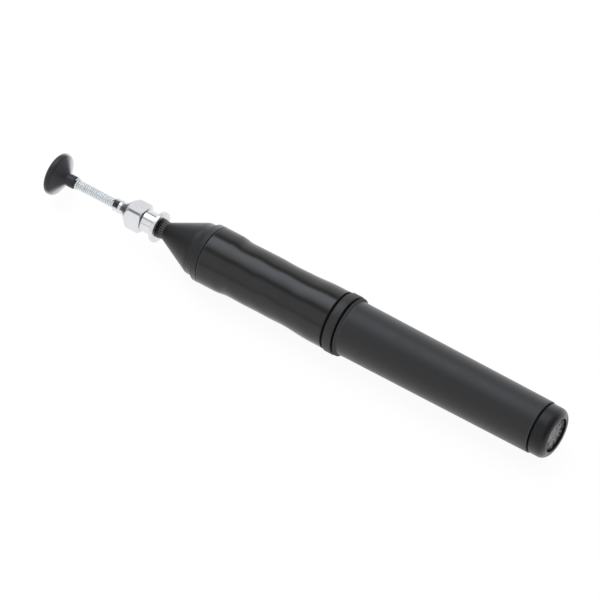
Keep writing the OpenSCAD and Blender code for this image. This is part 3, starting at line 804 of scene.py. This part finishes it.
def new_group(name, inputs, outputs):
    """An empty shader group with float inputs (name to default) and outputs (name to socket type)."""
    group = bpy.data.node_groups.new(name, "ShaderNodeTree")
    for key, value in inputs.items():
        socket = group.interface.new_socket(key, in_out="INPUT", socket_type="NodeSocketFloat")
        socket.default_value = value
    for key, kind in outputs.items():
        group.interface.new_socket(key, in_out="OUTPUT", socket_type=kind)
    nodes = Nodes(group)
    return group, nodes, nodes.add("NodeGroupInput"), nodes.add("NodeGroupOutput")


def grain_group():
    """Moulded grain: fine bumps, slow cloudy patches for tone and gloss, and specks."""
    group, nodes, given, result = new_group(
        "moulded_grain", {"Grain per metre": 6000.0, "Patches per metre": 300.0},
        {"Height": "NodeSocketFloat", "Patch": "NodeSocketFloat", "Speck": "NodeSocketFloat"})
    grain = given.outputs["Grain per metre"]
    place = nodes.add("ShaderNodeTexCoord").outputs["Object"]
    fine = nodes.noise(place, grain, detail=2.0, roughness=0.6)
    slow = nodes.noise(place, given.outputs["Patches per metre"], detail=3.0, roughness=0.55)
    dots = nodes.cells(place, nodes.times(grain, SPECKS_PER_GRAIN))
    nodes.link(fine, result.inputs["Height"])
    nodes.link(nodes.span(slow, *CLOUD_SPAN, 0.0, 1.0), result.inputs["Patch"])
    nodes.link(nodes.span(dots, 0.0, SPECK_REACH, 1.0, 0.0), result.inputs["Speck"])
    return group


def turning_group():
    """Tool marks of a lathe: uneven rings along the pen's length, as height and as tone."""
    group, nodes, given, result = new_group(
        "turning_marks", {"Rings per metre": 9000.0},
        {"Height": "NodeSocketFloat", "Tone": "NodeSocketFloat"})
    place = nodes.add("ShaderNodeTexCoord").outputs["Object"]
    along = nodes.add("ShaderNodeSeparateXYZ", {0: place}).outputs["X"]
    ring = nodes.times(along, given.outputs["Rings per metre"])
    inputs = {"W": ring, "Scale": 1.0, "Detail": 3.0, "Roughness": 0.7}
    rough = nodes.add("ShaderNodeTexNoise", inputs, noise_dimensions="1D").outputs["Fac"]
    slow = nodes.noise(place, MARK_CLOUDS_PER_METRE, detail=4.0, roughness=0.6)
    tone = nodes.times(rough, nodes.span(slow, *CLOUD_SPAN, *MARK_CLOUD_FACTORS))
    nodes.link(rough, result.inputs["Height"])
    nodes.link(tone, result.inputs["Tone"])
    return group


def place_group():
    """Where a point lies on the pen: its station and radius, in millimetres, and its way outwards."""
    group, nodes, _, result = new_group(
        "pen_place", {},
        {"Station": "NodeSocketFloat", "Radius": "NodeSocketFloat", "Outward": "NodeSocketVector"})
    place = nodes.add("ShaderNodeTexCoord").outputs["Object"]
    offset = nodes.vector("SUBTRACT", "Vector", place, tuple(AXIS_START * MM))
    along = nodes.vector("DOT_PRODUCT", "Value", offset, tuple(ALONG))
    across = nodes.vector("CROSS_PRODUCT", "Vector", offset, tuple(ALONG))
    away = nodes.vector("LENGTH", "Value", across)
    outward = nodes.vector("CROSS_PRODUCT", "Vector", tuple(ALONG), across)
    nodes.link(nodes.math("DIVIDE", along, MM), result.inputs["Station"])
    nodes.link(nodes.math("DIVIDE", away, MM), result.inputs["Radius"])
    nodes.link(nodes.vector("NORMALIZE", "Vector", outward), result.inputs["Outward"])
    return group


GRAIN = grain_group()
TURNING = turning_group()
PLACE = place_group()


def material(name):
    """A new node material with its shader, and calls to add nodes to it."""
    made = bpy.data.materials.new(name)
    made.use_nodes = True
    nodes = Nodes(made.node_tree)
    return made, nodes, made.node_tree.nodes["Principled BSDF"]


def use_group(nodes, group, **values):
    """A group node's outputs, with its inputs set by name, underscores standing for spaces."""
    node = nodes.add("ShaderNodeGroup", node_tree=group)
    for key, value in values.items():
        node.inputs[key.replace("_", " ")].default_value = value
    return node.outputs


def mixed(nodes, factor, dark, light):
    """A colour between two, by factor."""
    node = nodes.add("ShaderNodeMix", data_type="RGBA")
    nodes.link(factor, node.inputs["Factor"])
    node.inputs["A"].default_value = (*dark, 1)
    node.inputs["B"].default_value = (*light, 1)
    return node.outputs["Result"]


def raise_grain(nodes, shader, height, strength, depth):
    """Bumps in a surface, from a height that changes over it."""
    relief = nodes.add("ShaderNodeBump", {"Strength": strength, "Distance": depth, "Height": height})
    nodes.link(relief.outputs["Normal"], shader.inputs["Normal"])


def moulded(name, dark, light, gloss, grain=6000.0, patches=300.0, bump=0.15, depth=0.00002, specular=0.5):
    """Moulded plastic or rubber: cloudy tone, grain in its surface, roughness from low to high."""
    made, nodes, shader = material(name)
    outputs = use_group(nodes, GRAIN, Grain_per_metre=grain, Patches_per_metre=patches)
    nodes.link(mixed(nodes, outputs["Patch"], dark, light), shader.inputs["Base Color"])
    half_patch = nodes.times(outputs["Patch"], 0.5)
    half_speck = nodes.times(outputs["Speck"], 0.5)
    ground = nodes.math("ADD", half_patch, half_speck)
    nodes.link(nodes.span(ground, 0.0, 1.0, *gloss), shader.inputs["Roughness"])
    raise_grain(nodes, shader, outputs["Height"], bump, depth)
    shader.inputs["Specular IOR Level"].default_value = specular
    return made, nodes, shader


def metal(name, dark, light, gloss, rings=9000.0, bump=0.1, depth=0.00001):
    """Turned or drawn bright metal: rings of tool marks in tone, gloss and surface."""
    made, nodes, shader = material(name)
    outputs = use_group(nodes, TURNING, Rings_per_metre=rings)
    nodes.link(mixed(nodes, outputs["Tone"], dark, light), shader.inputs["Base Color"])
    nodes.link(nodes.span(outputs["Tone"], *MARK_SPAN, *gloss), shader.inputs["Roughness"])
    raise_grain(nodes, shader, outputs["Height"], bump, depth)
    shader.inputs["Metallic"].default_value = 1.0
    return made, nodes, shader


def paint(piece, made):
    """Gives a piece one material."""
    piece.data.materials.clear()
    piece.data.materials.append(made)


def overlay(nodes, shader, mask, colour):
    """Lays a colour over what a shader's base colour already gets, by a mask."""
    under = shader.inputs["Base Color"].links[0].from_socket
    node = nodes.add("ShaderNodeMix", data_type="RGBA")
    nodes.link(mask, node.inputs["Factor"])
    nodes.link(under, node.inputs["A"])
    node.inputs["B"].default_value = (*colour, 1)
    nodes.link(node.outputs["Result"], shader.inputs["Base Color"])


def turned_away(nodes, normal=None):
    """0 where a surface, or a normal given for it, faces the eye, and 1 where it is seen edge on."""
    node = nodes.add("ShaderNodeLayerWeight", {"Blend": 0.5})
    if normal is not None:
        nodes.link(normal, node.inputs["Normal"])
    return node.outputs["Facing"]


def painted_edge_sheen(nodes, shader, colour, normal=None, power=SHEEN_POWER):
    """Painted pale sheen on matt surfaces seen near edge on, by a power of how far they turn away."""
    overlay(nodes, shader, nodes.math("POWER", turned_away(nodes, normal), power), colour)


def roughen(nodes, shader, mask):
    """Takes the gloss off a place, by a mask."""
    gloss = shader.inputs["Roughness"].links[0].from_socket
    nodes.link(nodes.math("MAXIMUM", gloss, mask), shader.inputs["Roughness"])


def paint_groove_shade(nodes, shader, mask):
    """Paints shade: makes a place dull black by a mask, as the shaded bottom of a groove looks."""
    overlay(nodes, shader, mask, GROOVE_SHADE)
    roughen(nodes, shader, mask)


def cup_rubber():
    """Soft black rubber, with a painted pale sheen on the cup's back where it is seen at a slant."""
    made, nodes, shader = moulded(
        "cup_rubber", dark=(0.020, 0.0195, 0.024), light=(0.033, 0.032, 0.039), gloss=(0.34, 0.44),
        grain=4000, bump=0.06, specular=0.34)
    station = use_group(nodes, PLACE)["Station"]
    # Painted pale sheen on the cup's back, by how far it turns away from the eye
    slant = nodes.step(turned_away(nodes), *CUP_SLANT_STEP)
    cup_sheen = nodes.times(slant, nodes.band(station, *CUP_SHEEN_BAND))
    overlay(nodes, shader, cup_sheen, CUP_PAINTED_SHEEN)
    return made


def hub_nickel():
    """Bright plate, brightest on the neck, with painted dark reflections on one side.

    The painted dark reflections lie along the square's corners, as a dark line on its rear chamfer,
    and in two bands from the collar to the cone.
    """
    made, nodes, shader = metal(
        "hub_nickel", dark=(0.68, 0.68, 0.70), light=(0.88, 0.88, 0.90), gloss=(0.28, 0.40))
    place = use_group(nodes, PLACE)
    station = place["Station"]
    side = nodes.vector("DOT_PRODUCT", "Value", place["Outward"], DARK_REFLECTION_SIDE)
    reflects_dark = nodes.step(side, *DARK_REFLECTION_STEP)
    # Painted dark reflection along the square's corners, on the side up and to the front
    corner = nodes.times(nodes.step(place["Radius"], *HUB_CORNER_RADIUS_STEP),
                         nodes.band(station, *HUB_SQUARE_BAND))
    overlay(nodes, shader, nodes.times(corner, reflects_dark), HUB_CORNER_DARK_REFLECTION)
    # Painted dark line on the square's rear chamfer, on the same side as the painted dark reflections
    chamfer_dark = nodes.band(station, *HUB_CHAMFER_DARK_BAND)
    overlay(nodes, shader, nodes.times(chamfer_dark, reflects_dark), HUB_CHAMFER_DARK_LINE)
    # Painted dark reflections in two bands on the collar, on the side up and to the front
    collar = nodes.step(side, *COLLAR_STEP)
    for limits, colour in COLLAR_BANDS:
        overlay(nodes, shader, nodes.times(nodes.band(station, *limits), collar), colour)
    neck = nodes.band(station, *HUB_NECK_BAND)
    gloss = shader.inputs["Roughness"].links[0].from_socket
    polish = nodes.times(gloss, nodes.span(neck, 0.0, 1.0, 1.0, NECK_POLISH))
    nodes.link(polish, shader.inputs["Roughness"])
    return made


def nose_plastic():
    """Satin black plastic with a painted pale sheen, and painted light from the shoulder back.

    It is matt on the lip's slope, and its rib crests carry a painted highlight.
    """
    made, nodes, shader = moulded(
        "nose_plastic", dark=(0.005, 0.005, 0.005), light=(0.008, 0.008, 0.008), gloss=(0.42, 0.54),
        bump=0.2, specular=0.26)
    place = use_group(nodes, PLACE)
    station = place["Station"]
    # Painted light: the nose is lighter from its shoulder back
    overlay(nodes, shader, nodes.step(station, *NOSE_SHOULDER_STEP), NOSE_SHOULDER_LIGHT)
    # Painted pale sheen where the nose turns edge on
    painted_edge_sheen(nodes, shader, NOSE_SHEEN, place["Outward"], NOSE_SHEEN_POWER)
    roughen(nodes, shader, nodes.times(nodes.band(station, *NOSE_LIP_BAND), NOSE_LIP_ROUGHNESS))
    # Painted highlight on the rib crests
    crests = nodes.step(place["Radius"], *RIB_CREST_RADIUS_STEP)
    overlay(nodes, shader, nodes.times(crests, nodes.band(station, *RIB_BAND)), RIB_CREST_HIGHLIGHT)
    return made


def sleeve_rubber():
    """Glossy black rubber, with painted light on its front edge at the seam.

    Its rear edge beside the groove is dull, with painted shade.
    """
    made, nodes, shader = moulded(
        "sleeve_rubber", dark=(0.004, 0.004, 0.0045), light=(0.006, 0.006, 0.0065), gloss=(0.14, 0.2),
        grain=2500, patches=220, bump=0.05)
    station = use_group(nodes, PLACE)["Station"]
    # Painted shade on the sleeve's rear edge beside the groove
    paint_groove_shade(nodes, shader, nodes.step(station, *SLEEVE_REAR_STEP))
    # Painted light on the sleeve's front edge, lifting the seam's shade
    overlay(nodes, shader, nodes.step(station, *SLEEVE_FRONT_STEP), SLEEVE_SEAM_LIGHT)
    return made


def ring_plastic():
    """Finely speckled charcoal plastic, with painted dull black shade in the grooves beside the ring."""
    made, nodes, shader = moulded(
        "ring_plastic", dark=(0.004, 0.004, 0.004), light=(0.012, 0.012, 0.012), gloss=(0.42, 0.56),
        patches=1400, bump=0.3, specular=0.46)
    grit = use_group(nodes, GRAIN, Grain_per_metre=RING_GRIT_PER_METRE)["Height"]
    overlay(nodes, shader, nodes.span(grit, *RING_GRIT_SPAN, 0.0, 1.0), RING_GRIT)
    radius = use_group(nodes, PLACE)["Radius"]
    # Painted shade in the grooves beside the ring
    paint_groove_shade(nodes, shader, nodes.step(radius, *RING_GROOVE_RADIUS_STEP))
    return made


def barrel_plastic():
    """Matt charcoal plastic with a painted pale sheen.

    The bead gets painted light and the rear edge a painted highlight.
    """
    made, nodes, shader = moulded(
        "barrel_plastic", dark=(0.0035, 0.0035, 0.004), light=(0.007, 0.007, 0.0085), gloss=(0.46, 0.6),
        bump=0.3, specular=0.55)
    # Painted pale sheen where the barrel turns edge on
    painted_edge_sheen(nodes, shader, BARREL_SHEEN)
    station = use_group(nodes, PLACE)["Station"]
    # Painted light on the bead's slope and crest, evening out the bead's shading
    bead = nodes.step(station, *BEAD_STEP)
    overlay(nodes, shader, bead, BEAD_SLOPE_LIGHT)
    overlay(nodes, shader, nodes.step(station, *BEAD_CREST_STEP), BEAD_CREST_LIGHT)
    roughen(nodes, shader, nodes.times(bead, BEAD_ROUGHNESS))
    # Painted highlight on the barrel's rear edge
    overlay(nodes, shader, nodes.step(station, *BARREL_END_STEP), BARREL_END_HIGHLIGHT)
    return made


def cap_plastic():
    """Black plastic with a painted sheen, a painted highlight on the recess's rim, and painted shade.

    The painted shade is on the recess's wall, which is also matt, and dull black in the groove.
    """
    made, nodes, shader = moulded(
        "cap_plastic", dark=(0.0035, 0.0035, 0.004), light=(0.006, 0.006, 0.007), gloss=(0.38, 0.5),
        bump=0.2, specular=0.33)
    place = use_group(nodes, PLACE)
    station = place["Station"]
    # Painted pale sheen where the cap turns edge on
    painted_edge_sheen(nodes, shader, CAP_SHEEN, place["Outward"])
    # Painted highlight along the recess's rim
    rim = nodes.times(nodes.band(place["Radius"], *RIM_RADIUS_BAND), nodes.step(station, *RIM_STEP))
    overlay(nodes, shader, rim, RIM_HIGHLIGHT)
    # Painted shade on the recess's wall, which is also made matt
    recess_shade = nodes.times(nodes.step(place["Radius"], *RECESS_RADIUS_STEP), nodes.band(station, *RECESS_BAND))
    overlay(nodes, shader, recess_shade, RECESS_WALL_SHADE)
    roughen(nodes, shader, recess_shade)
    # Painted shade in the groove in front of the cap
    paint_groove_shade(nodes, shader, nodes.step(station, *CAP_GROOVE_STEP))
    return made


def disc_grey():
    """Pressed grey grit: cloudy patches, and dark pits that grow towards the rim."""
    made, nodes, shader = moulded(
        "disc_grey", dark=(0.06, 0.06, 0.062), light=(0.40, 0.40, 0.41), gloss=(0.45, 0.7),
        grain=5000, patches=1100, bump=0.5, depth=0.00004)
    place = nodes.add("ShaderNodeTexCoord").outputs["Object"]
    growth = nodes.span(use_group(nodes, PLACE)["Radius"], *PIT_GROWTH_RADII, 0.0, PIT_GROWTH)
    pits = nodes.math("SUBTRACT", nodes.cells(place, PITS_PER_METRE), growth)
    overlay(nodes, shader, nodes.span(pits, *PIT_SPAN, 1.0, 0.0), DISC_PITS)
    return made


CORE_PLASTIC, _, _ = moulded(
    "core_plastic", dark=(0.02, 0.02, 0.02), light=(0.03, 0.03, 0.03), gloss=(0.45, 0.6))
TUBE_STEEL, _, _ = metal(
    "tube_steel", dark=(0.5, 0.5, 0.51), light=(0.75, 0.75, 0.76), gloss=(0.2, 0.34), rings=3000)
COIL_STEEL, _, _ = metal(
    "coil_steel", dark=(0.76, 0.78, 0.79), light=(0.90, 0.92, 0.93), gloss=(0.6, 0.7), rings=900)

paint(suction_cup(), cup_rubber())
paint(needle_tube(), TUBE_STEEL)
paint(guard_spring(), COIL_STEEL)
paint(luer_hub(), hub_nickel())
paint(nose_cone(), nose_plastic())
paint(squeeze_sleeve(), sleeve_rubber())
paint(joint_coupling(), ring_plastic())
paint(rear_barrel(), barrel_plastic())
paint(end_cap(), cap_plastic())
paint(end_disc(), disc_grey())
paint(frame["nodes"]["core_tube"], CORE_PLASTIC)


def seen_by_eye(nodes):
    """1 for rays from the eye, from mirrors and through glass, and 0 for rays that only light."""
    path = nodes.add("ShaderNodeLightPath").outputs
    seen = nodes.math("MAXIMUM", path["Is Camera Ray"], path["Is Glossy Ray"])
    return nodes.math("MAXIMUM", seen, path["Is Transmission Ray"])


def floor():
    """White table under the pen: near full white where it is seen, plain white where it lights."""
    corners = np.array([[-1, -1, 0], [1, -1, 0], [1, 1, 0], [-1, 1, 0]]) * TABLE_REACH
    mesh = bpy.data.meshes.new("table")
    mesh.from_pydata(corners.tolist(), [], [[0, 1, 2, 3]])
    table = bpy.data.objects.new("table", mesh)
    bpy.context.scene.collection.objects.link(table)
    made, nodes, shader = material("table_white")
    seen = seen_by_eye(nodes)
    nodes.link(mixed(nodes, seen, TABLE_WHITE, TABLE_SEEN), shader.inputs["Base Color"])
    shader.inputs["Roughness"].default_value = TABLE_ROUGHNESS
    shader.inputs["Specular IOR Level"].default_value = 0.0
    shader.inputs["Emission Color"].default_value = (1, 1, 1, 1)
    nodes.link(nodes.times(seen, TABLE_GLOW), shader.inputs["Emission Strength"])
    made.cycles.emission_sampling = "NONE"
    paint(table, made)


def world():
    """White room with a softbox overhead, as mirrors see it, and even light for all else.

    A direction is told by its angle round the pen's axis, counted from the side that faces the
    photograph's lens, and by its share along the axis. Each band of angles scales the room's
    level. The two ends of the room are darker.
    """
    room = bpy.data.worlds.new("room")
    bpy.context.scene.world = room
    room.use_nodes = True
    room.cycles.sampling_method = "NONE"
    nodes = Nodes(room.node_tree)
    towards = nodes.add("ShaderNodeTexCoord").outputs["Generated"]

    def share(direction):
        return nodes.vector("DOT_PRODUCT", "Value", towards, tuple(direction))

    def scaled(level, mask, factor):
        return nodes.times(level, nodes.math("MULTIPLY_ADD", mask, factor - 1.0, 1.0))

    facing = LENS_SIDE - LENS_SIDE.dot(ALONG) * ALONG
    facing /= np.linalg.norm(facing)
    angle = nodes.math("ARCTAN2", share(np.cross(facing, ALONG)), share(facing))
    angle = nodes.times(angle, 180 / math.pi)
    axial = share(ALONG)
    seen = seen_by_eye(nodes)
    lamp = nodes.times(nodes.band(angle, *LAMP_ANGLES), nodes.band(axial, *LAMP_LENGTH))
    lamp = nodes.times(lamp, seen)
    level = scaled(ROOM_SEEN, lamp, LAMP_FACTOR)
    for limits, factor in ROOM_BANDS:
        level = scaled(level, nodes.band(angle, *limits), factor)
    for limits, factor in ROOM_ENDS:
        level = scaled(level, nodes.step(axial, *limits), factor)
    chosen = nodes.add("ShaderNodeMix", {"Factor": seen}, data_type="FLOAT")
    chosen.inputs["A"].default_value = ROOM_LIGHT
    nodes.link(level, chosen.inputs["B"])
    back = room.node_tree.nodes["Background"]
    nodes.link(mixed(nodes, lamp, ROOM_COLOUR, LAMP_COLOUR), back.inputs["Color"])
    nodes.link(chosen.outputs["Result"], back.inputs["Strength"])


def placed(name, data, right, back, position):
    """An object for a lamp or a camera, with its right side, its back and its place in the world."""
    pose = np.eye(4)
    pose[:3, 0] = right
    pose[:3, 1] = np.cross(back, right)
    pose[:3, 2] = back
    pose[:3, 3] = position
    holder = bpy.data.objects.new(name, data)
    bpy.context.scene.collection.objects.link(holder)
    holder.matrix_world = Matrix(pose.tolist())
    return holder


def softbox():
    """A broad lamp over the pen, that faces it. Mirrors see the softer lamp in the room instead."""
    towards = np.array(SOFTBOX_TOWARDS)
    towards /= np.linalg.norm(towards)
    lamp = bpy.data.lights.new("overhead_softbox", "AREA")
    lamp.shape = "RECTANGLE"
    lamp.size, lamp.size_y = SOFTBOX_SIZE
    lamp.energy = SOFTBOX_RADIANCE * math.pi * SOFTBOX_SIZE[0] * SOFTBOX_SIZE[1]
    lamp.color = SOFTBOX_COLOUR
    side = np.cross([1.0, 0.0, 0.0], towards)
    side /= np.linalg.norm(side)
    holder = placed("overhead_softbox", lamp, np.cross(side, towards), towards, towards * SOFTBOX_DISTANCE)
    holder.visible_glossy = False


def camera():
    """The photograph's view: no roll, a long lens, aimed near the middle of the pen."""
    lens = bpy.data.cameras.new("camera")
    lens.sensor_width = SENSOR_MM
    lens.sensor_fit = "HORIZONTAL"
    lens.lens = FOCAL_PIXELS / PHOTO_PIXELS * SENSOR_MM
    lens.clip_start = CLIP_NEAR
    lens.clip_end = CLIP_FAR
    right = np.array([math.cos(CAMERA_AZIMUTH), math.sin(CAMERA_AZIMUTH), 0.0])
    position = CAMERA_AIM + LENS_SIDE * CAMERA_DISTANCE
    bpy.context.scene.camera = placed("camera", lens, right, LENS_SIDE, position)


floor()
world()
softbox()
camera()
bpy.context.scene.view_settings.view_transform = "Standard"
